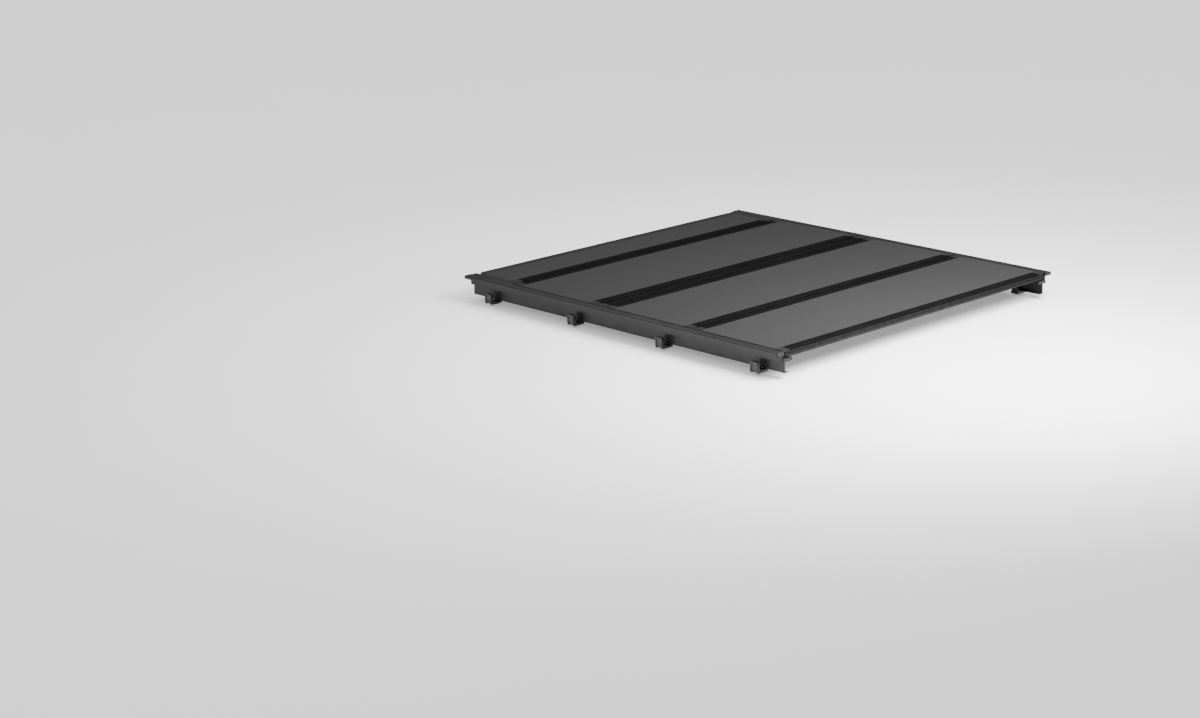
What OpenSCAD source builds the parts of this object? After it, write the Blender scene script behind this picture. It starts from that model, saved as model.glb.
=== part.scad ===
// Hard folding tonneau cover for a short pickup bed: four aluminium panels, folding hinges,
// clamped side rails, spring latches and prop rods.
// +X runs from the cab to the tailgate, +Y to the passenger side, +Z up. Millimetres.

/* [Cover] */
// Half width of the three large panels
panel_half_w = 780; // [740:5:800]
// Half width of the short panel at the cab
cab_half_w = 755; // [700:5:755]
// Panel thickness
panel_t = 28; // [26:1:29]
// Height of the panel tops above the lowest clamp bolt
top_z = 110; // [110:1:112]

/* [Panel lengths] */
// Skin length of the cab panel
cab_skin = 166; // [120:2:180]
// Skin length of the front panel
front_skin = 392; // [390:2:420]
// Skin length of the middle panel
middle_skin = 384; // [376:2:386]
// Skin length of the rear panel
rear_skin = 376; // [340:2:378]
// Width of the extruded rail at each cross edge of a panel
bar_w = 38; // [36:1:40]

/* [Hinges] */
// Distance from a hinge axis to the panel edges beside it
hinge_gap = 6; // [6:0.5:7]
// Distance between the two axes of the double hinge
spacer_l = 52; // [52:1:56]
// Knuckle radius
knuckle_r = 5; // [4.5:0.1:5.4]
// Hinge pin radius
pin_r = 2.5; // [2:0.1:3]
// Knuckles in each hinge
knuckle_n = 11; // [7:2:15]

/* [Rails] */
// Half width over both side rails
rail_half_w = 818; // [816:1:824]
// Wall thickness of the rail extrusion
rail_wall = 3; // [2.5:0.25:3]
// Clamps on each rail
clamp_n = 4; // [3:1:5]

/* [Prop rods] */
// Distance along the front panel from its hinge to the rod pivot
rod_pivot = 150; // [140:5:160]
// Rod length from pivot to foot
rod_l = 300; // [290:5:300]
// Angle that the folded stack stands at
stack_angle = 92; // [88:1:93]

/* [Hidden] */
$fn = 48;

// Places along the cover, from the front edge of the cab panel
cab_l = cab_skin + 2 * bar_w;
front_l = front_skin + 2 * bar_w;
middle_l = middle_skin + 2 * bar_w;
rear_l = rear_skin + 2 * bar_w;
cab_axis = cab_l + hinge_gap;
front_x = cab_axis + hinge_gap;
front_axis = front_x + front_l + hinge_gap;
spacer_axis = front_axis + spacer_l;
middle_x = spacer_axis + hinge_gap;
middle_axis = middle_x + middle_l + hinge_gap;
rear_x = middle_axis + hinge_gap;
rear_end = rear_x + rear_l;
seal_front = 10;
seal_rear = 8;
x_mid = (rear_end + seal_rear - seal_front) / 2;

// Heights
bottom_z = top_z - panel_t;
axis_z = top_z + 1;
skin_t = 1.2;
skin_drop = 0.3;
plate_t = 1.5;
wall = 2.5;
edge_t = 3;
core_top = top_z - plate_t;
flange_z = bottom_z - 3.5;
gutter_z = flange_z - 10.5;
foot_z = 96;
ledge_z = 24;

// Places across the cover, measured outward from the middle
frame_w = 34;
rail_in = panel_half_w + 4.5;
flange_in = 738;
flange_out = 752;
gutter_in = 749.5;
web_v = 770;
ledge_in = 752;
foot_in = 800;
clamp_v = 760;
crown_z = top_z - 0.5;
cap_t = 6;

// Prop rods: the foot lands in the rest when the stack stands at stack_angle
rod_y = 725;
rod_r = 4;
eye_r = 7;
pivot_r = 3;
rod_z = bottom_z - 12;
foot_drop = 59;
pivot_x = rod_pivot * cos(stack_angle) + (axis_z - rod_z) * sin(stack_angle);
pivot_up = rod_pivot * sin(stack_angle) - (axis_z - rod_z) * cos(stack_angle);
foot_x = pivot_x + sqrt(pow(rod_l, 2) - pow(pivot_up + foot_drop, 2));

// Latches: places across the cover are measured outward from the middle
latch_x = rear_end - bar_w - 38;
latch_in = 668;
latch_out = 734;
latch_z = 64;
bolt_z = 70.75;
bolt_h = 9.5;
bolt_w = 30;
bolt_tip = 747;
tail_in = 640;
tail_r = 2.5;
spring_in = latch_in + 4;
spring_l = 22;
shoulder = spring_in + spring_l;
cable_r = 1.5;

// Clamps, hold-downs and drains
jaw_low = 7;
jaw_floor = 17;
jaw_half = 18;
clamp_bolt_r = 4;
clear_r = 4.3;
thread_r = 4.05;
stud_z = 54;
hold_x = 150;
hold_y = 715;
hold_z = 72;
hold_t = 3;
drain_x = 22;
drain_y = clamp_v;
drain_r = 6;

black = [0.07, 0.07, 0.075];
charcoal = [0.24, 0.24, 0.245];
rubber = [0.035, 0.035, 0.035];
steel = [0.62, 0.63, 0.65];
zinc = [0.72, 0.7, 0.62];
foam = [0.82, 0.84, 0.86];

// A bar with a cross-section in X and Z, running across the cover over +-half
module across(half) {
    rotate([90, 0, 0]) linear_extrude(2 * half, center = true) children();
}

// A bar with a cross-section in Y and Z, running along the cover from x0 to x1
module along(x0, x1) {
    translate([x0, 0, 0]) rotate([90, 0, 90]) linear_extrude(x1 - x0) children();
}

module box(x0, x1, y0, y1, z0, z1) {
    translate([x0, y0, z0]) cube([x1 - x0, y1 - y0, z1 - z0]);
}

module rect(a0, a1, b0, b1) {
    translate([a0, b0]) square([a1 - a0, b1 - b0]);
}

// The right-hand part and its mirror image on the left
module both_sides() {
    children();
    mirror([0, 1, 0]) children();
}

module left_side() {
    mirror([0, 1, 0]) children();
}

// Knuckles of one hinge leaf; first is 0 or 1, side is -1 for a leaf ahead of the axis
module knuckles(x, half, side, first) {
    pitch = 2 * half / knuckle_n;
    for (i = [first : 2 : knuckle_n - 1]) {
        y = -half + i * pitch + 0.5;
        translate([x, y, axis_z]) rotate([-90, 0, 0]) cylinder(r = knuckle_r, h = pitch - 1);
        box(min(x, x + side * (hinge_gap + wall)), max(x, x + side * (hinge_gap + wall)),
            y, y + pitch - 1, axis_z - knuckle_r, top_z);
    }
}

module hinge_bore(x, half) {
    translate([x, 0, axis_z]) rotate([90, 0, 0])
        cylinder(r = pin_r + 0.05, h = 2 * half + 2, center = true);
}

// Hollow extruded bar at a cross edge of a panel
module bar(x0, half) {
    across(half) difference() {
        rect(x0, x0 + bar_w, bottom_z, top_z);
        rect(x0 + wall, x0 + bar_w - wall, bottom_z + wall, top_z - wall);
    }
}

// Bar with hinge knuckles on its front (side 1) or rear (side -1) edge
module hinge_bar(x0, half, axis_x, hinge_half, side, first) {
    difference() {
        union() {
            bar(x0, half);
            knuckles(axis_x, hinge_half, side, first);
        }
        hinge_bore(axis_x, hinge_half);
    }
}

module top_skin(x0, length, half) {
    color(charcoal) box(x0 + bar_w, x0 + length - bar_w, -half + edge_t + 0.3, half - edge_t - 0.3,
        core_top, core_top + skin_t);
}

module core(x0, length, half) {
    color(foam) box(x0 + bar_w, x0 + length - bar_w, -half + frame_w, half - frame_w,
        bottom_z + plate_t, core_top);
}

module bottom_skin(x0, length, half) {
    color(charcoal) box(x0 + bar_w, x0 + length - bar_w, -half + frame_w, half - frame_w,
        bottom_z, bottom_z + plate_t);
}

module side_frames(x0, length, half) {
    color(black) both_sides() along(x0 + bar_w, x0 + length - bar_w) difference() {
        union() {
            rect(half - frame_w, half - edge_t, bottom_z, core_top);
            rect(half - edge_t, half - 1, bottom_z, top_z);
            rect(half - 1, half, bottom_z, top_z - 1);
            translate([half - 1, top_z - 1]) circle(r = 1);
        }
        rect(half - frame_w + wall, half - edge_t, bottom_z + wall, core_top - wall);
    }
}

// Moulded cap at each corner; round is the plan radius of the outer corner
module corner_cap(x0, half, round, front) {
    x_in = front ? x0 + round : x0 + bar_w - round;
    translate([0, 0, bottom_z]) linear_extrude(panel_t) intersection() {
        rect(x0, x0 + bar_w, half - frame_w, half);
        union() {
            rect(x0, x0 + bar_w, half - frame_w, half - round);
            rect(front ? x_in : x0, front ? x0 + bar_w : x_in, half - frame_w, half);
            translate([x_in, half - round]) circle(r = round);
        }
    }
}

module corner_caps(x0, length, half, round_front, round_rear) {
    color(black) both_sides() {
        corner_cap(x0, half, round_front, true);
        corner_cap(x0 + length - bar_w, half, round_rear, false);
    }
}

// Hinge spans: the knuckles end short of the corner caps
cab_hinge_half = cab_half_w - frame_w - 4;
main_hinge_half = panel_half_w - frame_w - 4;

// Side rail section: outer crown, panel wall, gutter, support flange and clamp web
module rail_section() {
    crown = 4;
    rect(rail_in, rail_half_w - crown, crown_z - rail_wall, crown_z);
    difference() {
        translate([rail_half_w - crown, crown_z - crown]) circle(r = crown);
        rect(rail_half_w - 3 * crown, rail_half_w - rail_wall, crown_z - 3 * crown,
            crown_z - rail_wall);
    }
    rect(rail_half_w - rail_wall, rail_half_w, foot_z, crown_z - crown);
    rect(foot_in, rail_half_w, foot_z, foot_z + 2.5);
    rect(rail_in, rail_in + rail_wall, gutter_z, crown_z);
    rect(gutter_in, rail_in + rail_wall, gutter_z, gutter_z + 2.5);
    rect(gutter_in, flange_out, gutter_z, flange_z);
    rect(flange_in, flange_out, flange_z - 2.5, flange_z);
    rect(web_v, web_v + rail_wall, ledge_z, gutter_z);
    rect(ledge_in, web_v + rail_wall, ledge_z, ledge_z + 3);
}

function clamp_x(i) = 120 + i * (rear_end - 240) / (clamp_n - 1);

module rail() {
    color(charcoal) difference() {
        along(-seal_front + cap_t, rear_end + seal_rear - cap_t) rail_section();
        for (i = [0 : clamp_n - 1])
            translate([clamp_x(i), clamp_v, ledge_z - 1]) cylinder(r = clear_r, h = 5);
        translate([drain_x, drain_y, gutter_z - 1]) cylinder(r = drain_r, h = 5);
    }
}

module rail_seals() {
    base_t = 1.5;
    bulb_r = 1.5;
    color(rubber) both_sides() along(4, rear_end - 4) {
        rect(flange_in + 2, flange_out - 2, flange_z, flange_z + base_t);
        translate([(flange_in + flange_out) / 2, flange_z + base_t + 0.1]) circle(r = bulb_r);
    }
}

module rail_end_caps() {
    cover_z = top_z - 5;
    color(black) both_sides() {
        for (x = [-seal_front, rear_end + seal_rear - cap_t]) {
            box(x, x + cap_t, rail_in, rail_half_w, foot_z, crown_z);
            box(x, x + cap_t, flange_in, rail_in, gutter_z, bottom_z - 1);
        }
        box(-seal_front + cap_t, cab_l, cab_half_w + 2, rail_in, cover_z, crown_z);
    }
}

// Hold-down plates for the cab panel, and the slotted rests that the prop rods stand in
module rail_brackets() {
    plate = 5;
    rest_v = 730;
    arm_z = flange_z - 5;
    slot_r = rod_r + 0.35;
    peg_r = rod_r + 0.15;
    slot_z = axis_z - foot_drop;
    x = cab_axis + foot_x;
    color(steel) both_sides() {
        difference() {
            union() {
                box(hold_x - 20, hold_x + 20, hold_y - 17, gutter_in, hold_z, hold_z + hold_t);
                box(hold_x - 20, hold_x + 20, gutter_in - 2.5, gutter_in, gutter_z,
                    hold_z + hold_t);
            }
            translate([hold_x, hold_y, hold_z - 1]) cylinder(r = 4.5, h = hold_t + 2);
        }
        translate([x, rest_v + plate, slot_z]) rotate([90, 0, 0]) linear_extrude(plate) difference() {
            union() {
                rotate(45) translate([-10, -12]) square([26, 24]);
                translate([-30, -9]) square([22, arm_z - slot_z + 9]);
            }
            circle(r = slot_r);
            rotate(45) translate([0, -peg_r]) square([18, 2 * peg_r]);
        }
        box(x - 30, x - 14, rest_v + plate, gutter_in, gutter_z, arm_z);
    }
}

module clamp_upper_jaws() {
    half = 16;
    jaw_t = 10;
    color(steel) both_sides() for (i = [0 : clamp_n - 1]) difference() {
        box(clamp_x(i) - half, clamp_x(i) + half, ledge_in - 2, web_v - 0.5, ledge_z + 3,
            ledge_z + 3 + jaw_t);
        translate([clamp_x(i), clamp_v, ledge_z]) cylinder(r = thread_r, h = jaw_t + 6);
    }
}

// Lower jaws reach out under the bed flange; their teeth point up at the rail foot
module clamp_lower_jaws() {
    tooth = 3;
    jaw_out = 808;
    jaw_in = jaw_out - 16;
    jaw_top = 52;
    color(steel) both_sides() for (i = [0 : clamp_n - 1]) difference() {
        union() {
            jaw_block(i, jaw_half, ledge_in - 4, jaw_out, jaw_low, jaw_floor);
            jaw_block(i, jaw_half, jaw_in, jaw_out, jaw_floor, jaw_top - tooth);
            for (k = [0 : 2])
                jaw_block(i, jaw_half, jaw_in + 6 * k, jaw_in + 4 + 6 * k, jaw_top - tooth, jaw_top);
            jaw_block(i, 3, web_v + 8, jaw_in, jaw_floor, 34);
            jaw_block(i, jaw_half, ledge_in, ledge_in + 3, jaw_floor, ledge_z);
        }
        translate([clamp_x(i), clamp_v, jaw_low - 1]) cylinder(r = clear_r, h = 12);
    }
}

// Block of clamp i that reaches half to each side of the bolt
module jaw_block(i, half, y0, y1, z0, z1) {
    box(clamp_x(i) - half, clamp_x(i) + half, y0, y1, z0, z1);
}

// Clamp bolts with hex heads below, and the hold-down studs under the cab panel
module rail_fasteners() {
    head_h = 5.5;
    color(zinc) both_sides() {
        for (i = [0 : clamp_n - 1]) translate([clamp_x(i), clamp_v, 0]) {
            cylinder(r = 7.5, h = head_h, $fn = 6);
            translate([0, 0, head_h]) cylinder(r = 10, h = jaw_low - head_h);
            translate([0, 0, jaw_low]) cylinder(r = clamp_bolt_r, h = ledge_z + 10);
        }
        translate([hold_x, hold_y, stud_z]) cylinder(r = clamp_bolt_r, h = bottom_z - stud_z);
    }
}

module drain_nipples() {
    drop = 26;
    flange_t = 3;
    color(rubber) both_sides() translate([drain_x, drain_y, gutter_z]) difference() {
        union() {
            translate([0, 0, -drop]) cylinder(r = drain_r + 2, h = drop);
            translate([0, 0, -flange_t]) cylinder(r = drain_r + 3.5, h = flange_t);
        }
        translate([0, 0, -drop - 1]) cylinder(r = drain_r, h = drop + 2);
    }
}

// Soft bulb that closes the gap to the wall behind the cab
module bulkhead_seal() {
    bulb_r = 5;
    color(rubber) across(cab_half_w - 35) {
        rect(-bulb_r, 0, bottom_z + 4, top_z - 6);
        translate([-bulb_r, bottom_z + 8]) circle(r = bulb_r);
        translate([-bulb_r, top_z - 9]) circle(r = 3);
    }
}

module tailgate_seal() {
    bulb_r = 4;
    color(rubber) across(panel_half_w - 8) {
        rect(rear_end, rear_end + 3, bottom_z + 2, top_z - 6);
        translate([rear_end + bulb_r, bottom_z + 8]) circle(r = bulb_r);
        rect(rear_end, rear_end + 5, top_z - 9, top_z - 6);
    }
}

// Rubber strip under a hinge, fixed to the bar at x and reaching towards the other one
module hinge_seal(x, half, side) {
    depth = 2 * hinge_gap - 0.4;
    lip_r = 3;
    strip_z = bottom_z + 6;
    color(rubber) across(half) {
        rect(min(x, x + side * depth), max(x, x + side * depth), strip_z, strip_z + 4);
        rect(min(x, x + side * 3), max(x, x + side * 3), strip_z - 2, strip_z + 10);
        translate([x + side * (depth - lip_r), strip_z + lip_r]) circle(r = lip_r);
    }
}

module hinge_pin(x, half) {
    color(steel) translate([x, 0, axis_z]) rotate([90, 0, 0])
        cylinder(r = pin_r, h = 2 * half - 1, center = true);
}

module spacer_bar() {
    x0 = front_axis + hinge_gap;
    x1 = spacer_axis - hinge_gap;
    half = panel_half_w - frame_w;
    color(black) difference() {
        union() {
            across(half) difference() {
                rect(x0, x1, bottom_z, top_z);
                rect(x0 + wall, x1 - wall, bottom_z + wall, top_z - wall);
            }
            knuckles(front_axis, main_hinge_half, 1, 1);
            knuckles(spacer_axis, main_hinge_half, -1, 0);
        }
        hinge_bore(front_axis, main_hinge_half);
        hinge_bore(spacer_axis, main_hinge_half);
    }
}

module spacer_end_caps() {
    color(black) both_sides() box(front_axis + hinge_gap, spacer_axis - hinge_gap,
        panel_half_w - frame_w, panel_half_w, bottom_z, top_z);
}

// Rod with an eye at its pivot and a foot peg turned outward at its tip
module prop_rod() {
    x = cab_axis + rod_pivot;
    color(steel) difference() {
        union() {
            translate([x, rod_y, rod_z]) rotate([0, 90, 0]) cylinder(r = rod_r, h = rod_l);
            translate([x, rod_y - 4, rod_z]) rotate([-90, 0, 0]) cylinder(r = eye_r, h = 8);
            translate([x + rod_l, rod_y, rod_z]) rotate([-90, 0, 0])
                cylinder(r = rod_r, h = flange_in - 2 - rod_y);
            translate([x + rod_l, rod_y, rod_z]) sphere(r = rod_r);
        }
        translate([x, rod_y - 5, rod_z]) rotate([-90, 0, 0])
            cylinder(r = pivot_r + 0.05, h = 10);
    }
}

// Two ears on the underside of the front panel, with the pivot pin as its own solid
module prop_rod_brackets() {
    x = cab_axis + rod_pivot;
    color(steel) both_sides() {
        difference() {
            union() {
                box(x - 16, x + 16, rod_y - 16, rod_y + 12, bottom_z - 2, bottom_z);
                for (y = [rod_y - 7.5, rod_y + 4.5]) {
                    box(x - eye_r, x + eye_r, y, y + 3, rod_z, bottom_z - 2);
                    translate([x, y, rod_z]) rotate([-90, 0, 0]) cylinder(r = eye_r, h = 3);
                }
            }
            translate([x, rod_y - 8, rod_z]) rotate([-90, 0, 0]) cylinder(r = pivot_r, h = 16);
        }
        translate([x, rod_y - 8.5, rod_z]) rotate([-90, 0, 0]) cylinder(r = pivot_r, h = 17);
    }
}

module prop_rod_clips() {
    half = 8;
    grip_r = rod_r + 0.3;
    x = cab_axis + rod_pivot + rod_l - 60;
    color(black) both_sides() difference() {
        box(x - half, x + half, rod_y - half, rod_y + half, rod_z - rod_r, bottom_z);
        translate([x - half - 1, rod_y, rod_z]) rotate([0, 90, 0])
            cylinder(r = grip_r, h = 2 * half + 2);
        box(x - half - 1, x + half + 1, rod_y - grip_r, rod_y + grip_r, rod_z - rod_r - 1, rod_z);
    }
}

module latch_housings() {
    slide_gap = 0.3;
    half = 30;
    ear = 8;
    base_z = bottom_z - 2;
    color(black) both_sides() difference() {
        union() {
            box(latch_x - half, latch_x + half, latch_in, latch_out, latch_z, base_z);
            box(latch_x - half - ear, latch_x + half + ear, latch_in, latch_out, base_z, bottom_z);
        }
        box(latch_x - bolt_w / 2 - slide_gap, latch_x + bolt_w / 2 + slide_gap, spring_in,
            latch_out + 1, bolt_z - bolt_h / 2 - slide_gap, bolt_z + bolt_h / 2 + slide_gap);
        translate([latch_x, latch_in - 8, bolt_z]) rotate([-90, 0, 0])
            cylinder(r = tail_r + slide_gap, h = 20);
    }
}

// Bevelled bolt with a tail rod for the cable
module latch_bolt() {
    half_h = bolt_h / 2;
    bevel = 8;
    color(zinc) union() {
        along(latch_x - bolt_w / 2, latch_x + bolt_w / 2) polygon([[shoulder, bolt_z - half_h],
            [bolt_tip - bevel, bolt_z - half_h], [bolt_tip, bolt_z + 2],
            [bolt_tip, bolt_z + half_h], [shoulder, bolt_z + half_h]]);
        translate([latch_x, tail_in, bolt_z]) rotate([-90, 0, 0])
            cylinder(r = tail_r, h = shoulder + 1 - tail_in);
    }
}

// Compression spring around the tail rod, as a wire swept along a helix
module latch_springs() {
    turns = 8;
    ring_n = 14;
    side_n = 8;
    coil_r = 3.9;
    wire_r = 0.55;
    steps = turns * ring_n;
    rise = spring_l - 2 * wire_r - 0.4;
    points = [for (i = [0 : steps], k = [0 : side_n - 1])
        let (a = 360 * i / ring_n, b = 360 * k / side_n, r = coil_r + wire_r * cos(b))
        [latch_x + r * cos(a), spring_in + 0.2 + wire_r + rise * i / steps + wire_r * sin(b),
            bolt_z + r * sin(a)]];
    faces = concat([[for (k = [0 : side_n - 1]) k]],
        [[for (k = [side_n - 1 : -1 : 0]) steps * side_n + k]],
        [for (i = [0 : steps - 1], k = [0 : side_n - 1]) [i * side_n + k, (i + 1) * side_n + k,
            (i + 1) * side_n + (k + 1) % side_n, i * side_n + (k + 1) % side_n]]);
    color(steel) both_sides() polyhedron(points, faces, convexity = 8);
}

module release_cable() {
    color(steel) translate([latch_x, 0, bolt_z]) rotate([90, 0, 0])
        cylinder(r = cable_r, h = 2 * (tail_in - 0.3), center = true);
}

module release_grips() {
    grip_y = 420;
    grip_l = 90;
    grip_r = 6;
    color(rubber) both_sides() translate([latch_x, grip_y, bolt_z]) rotate([90, 0, 0])
        difference() {
            union() {
                cylinder(r = grip_r, h = grip_l, center = true);
                for (z = [-grip_l / 2, grip_l / 2]) translate([0, 0, z])
                    cylinder(r = grip_r + 1.5, h = 4, center = true);
            }
            cylinder(r = cable_r + 0.1, h = grip_l + 10, center = true);
        }
}

module cable_guides() {
    half = 7;
    half_l = 5;
    color(black) for (y = [-600, -200, 200, 600]) difference() {
        box(latch_x - half, latch_x + half, y - half_l, y + half_l, bolt_z - 5, bottom_z);
        translate([latch_x, y, bolt_z]) rotate([90, 0, 0])
            cylinder(r = cable_r + 0.5, h = 2 * half_l + 2, center = true);
    }
}

// Five-lobed knob with a blind bore for the hold-down stud
module hold_down_knob() {
    knob_z = 48;
    grip_h = 18;
    lobe_v = 11;
    lobe_r = 5;
    color(black) translate([hold_x, hold_y, 0]) difference() {
        union() {
            translate([0, 0, knob_z]) linear_extrude(grip_h) {
                circle(r = lobe_v + 1);
                for (a = [0 : 72 : 288]) rotate(a) translate([lobe_v, 0]) circle(r = lobe_r);
            }
            translate([0, 0, knob_z + 12]) cylinder(r = 8, h = hold_z - 0.3 - knob_z - 12);
        }
        translate([0, 0, stud_z - 0.5]) cylinder(r = thread_r, h = 20);
    }
}

translate([-x_mid, 0, 0]) {
    // Cab panel
    top_skin(0, cab_l, cab_half_w);  // cab_panel_top_skin
    core(0, cab_l, cab_half_w);  // cab_panel_core
    bottom_skin(0, cab_l, cab_half_w);  // cab_panel_bottom_skin
    color(black) bar(0, cab_half_w - frame_w);  // cab_panel_front_rail
    color(black)  // cab_panel_rear_rail
        hinge_bar(cab_l - bar_w, cab_half_w - frame_w, cab_axis, cab_hinge_half, -1, 0);
    side_frames(0, cab_l, cab_half_w);  // cab_panel_side_frames
    corner_caps(0, cab_l, cab_half_w, 30, 4);  // cab_panel_corner_caps
    // Front panel
    top_skin(front_x, front_l, panel_half_w);  // front_panel_top_skin
    core(front_x, front_l, panel_half_w);  // front_panel_core
    bottom_skin(front_x, front_l, panel_half_w);  // front_panel_bottom_skin
    color(black)  // front_panel_front_rail
        hinge_bar(front_x, panel_half_w - frame_w, cab_axis, cab_hinge_half, 1, 1);
    color(black)  // front_panel_rear_rail
        hinge_bar(front_x + front_l - bar_w, panel_half_w - frame_w, front_axis,
            main_hinge_half, -1, 0);
    side_frames(front_x, front_l, panel_half_w);  // front_panel_side_frames
    corner_caps(front_x, front_l, panel_half_w, 4, 4);  // front_panel_corner_caps
    // Middle panel
    top_skin(middle_x, middle_l, panel_half_w);  // middle_panel_top_skin
    core(middle_x, middle_l, panel_half_w);  // middle_panel_core
    bottom_skin(middle_x, middle_l, panel_half_w);  // middle_panel_bottom_skin
    color(black)  // middle_panel_front_rail
        hinge_bar(middle_x, panel_half_w - frame_w, spacer_axis, main_hinge_half, 1, 1);
    color(black)  // middle_panel_rear_rail
        hinge_bar(middle_x + middle_l - bar_w, panel_half_w - frame_w, middle_axis,
            main_hinge_half, -1, 0);
    side_frames(middle_x, middle_l, panel_half_w);  // middle_panel_side_frames
    corner_caps(middle_x, middle_l, panel_half_w, 4, 4);  // middle_panel_corner_caps
    // Rear panel
    top_skin(rear_x, rear_l, panel_half_w);  // rear_panel_top_skin
    core(rear_x, rear_l, panel_half_w);  // rear_panel_core
    bottom_skin(rear_x, rear_l, panel_half_w);  // rear_panel_bottom_skin
    color(black)  // rear_panel_front_rail
        hinge_bar(rear_x, panel_half_w - frame_w, middle_axis, main_hinge_half, 1, 1);
    color(black) bar(rear_end - bar_w, panel_half_w - frame_w);  // rear_panel_rear_rail
    side_frames(rear_x, rear_l, panel_half_w);  // rear_panel_side_frames
    corner_caps(rear_x, rear_l, panel_half_w, 4, 8);  // rear_panel_corner_caps
    // Rails, clamps and hold-downs
    left_side() rail();  // rail_left
    rail();  // rail_right
    rail_seals();
    rail_end_caps();
    rail_brackets();
    clamp_upper_jaws();
    clamp_lower_jaws();
    rail_fasteners();
    drain_nipples();
    left_side() hold_down_knob();  // hold_down_knob_left
    hold_down_knob();  // hold_down_knob_right
    // Seals, hinge pins and the double hinge
    bulkhead_seal();
    tailgate_seal();
    hinge_seal(cab_l, cab_half_w - 2, 1);  // cab_hinge_seal
    hinge_seal(front_x + front_l, main_hinge_half, 1);  // front_hinge_seal
    union() {  // middle_hinge_seals
        hinge_seal(middle_x, main_hinge_half, -1);
        hinge_seal(middle_x + middle_l, main_hinge_half, 1);
    }
    hinge_pin(cab_axis, cab_hinge_half);  // cab_hinge_pin
    hinge_pin(front_axis, main_hinge_half);  // front_hinge_pin
    union() {  // middle_hinge_pins
        hinge_pin(spacer_axis, main_hinge_half);
        hinge_pin(middle_axis, main_hinge_half);
    }
    spacer_bar();
    spacer_end_caps();
    // Prop rods
    left_side() prop_rod();  // prop_rod_left
    prop_rod();  // prop_rod_right
    prop_rod_brackets();
    prop_rod_clips();
    // Latches
    latch_housings();
    left_side() latch_bolt();  // latch_bolt_left
    latch_bolt();  // latch_bolt_right
    latch_springs();
    release_cable();
    release_grips();
    cable_guides();
}
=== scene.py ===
# Looks for the hard folding tonneau cover: materials, seals, fasteners, lights and camera.
# Metres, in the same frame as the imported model: +X to the tailgate, +Y to the passenger side.
import math

import bmesh
import bpy
from mathutils import Matrix, Vector


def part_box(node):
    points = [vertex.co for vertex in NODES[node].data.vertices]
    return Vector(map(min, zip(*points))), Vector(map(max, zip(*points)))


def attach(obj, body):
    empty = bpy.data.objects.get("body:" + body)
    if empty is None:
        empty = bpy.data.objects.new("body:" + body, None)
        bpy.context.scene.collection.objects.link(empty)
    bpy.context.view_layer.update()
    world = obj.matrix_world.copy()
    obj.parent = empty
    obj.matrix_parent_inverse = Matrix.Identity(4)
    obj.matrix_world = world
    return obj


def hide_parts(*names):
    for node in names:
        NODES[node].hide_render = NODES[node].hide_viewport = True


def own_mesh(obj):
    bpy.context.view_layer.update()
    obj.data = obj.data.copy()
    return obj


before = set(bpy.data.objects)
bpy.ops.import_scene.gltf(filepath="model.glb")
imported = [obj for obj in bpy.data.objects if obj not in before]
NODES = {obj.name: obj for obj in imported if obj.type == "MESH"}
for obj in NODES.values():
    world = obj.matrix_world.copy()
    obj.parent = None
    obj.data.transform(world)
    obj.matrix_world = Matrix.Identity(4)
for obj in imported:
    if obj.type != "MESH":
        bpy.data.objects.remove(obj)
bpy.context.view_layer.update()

MM = 0.001
PANELS = ("cab", "front", "middle", "rear")
BODY_OF_PANEL = {"cab": "mount", "front": "front_panel", "middle": "middle_panel",
                 "rear": "rear_panel"}


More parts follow.
